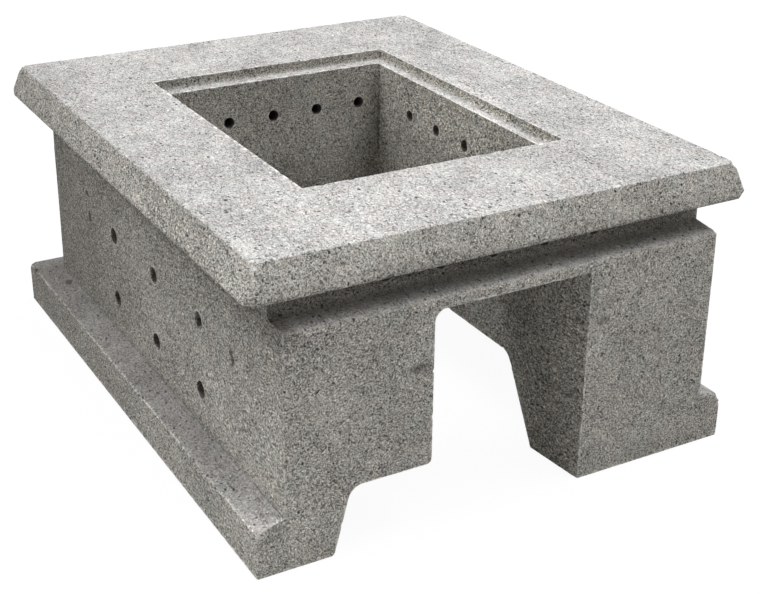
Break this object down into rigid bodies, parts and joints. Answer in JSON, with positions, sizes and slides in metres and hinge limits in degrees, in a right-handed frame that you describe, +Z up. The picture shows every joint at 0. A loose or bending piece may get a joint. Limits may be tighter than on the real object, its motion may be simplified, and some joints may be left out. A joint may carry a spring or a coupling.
{
  "type": "refractory firebox block",
  "caption": "One-piece cast refractory block with a flared flange round a rebated pit, air bores in its walls, and an ash channel below that opens to the front.",
  "frame": {"origin": "centre of the footprint, on the floor", "axes": "+X left to right seen from the front, +Y front to back, +Z up"},
  "size_m": [0.4166, 0.5233, 0.236],
  "materials": {
    "refractory": "matte"
  },
  "bodies": {
    "root": {"firebox_block": "refractory"}
  },
  "joints": []
}
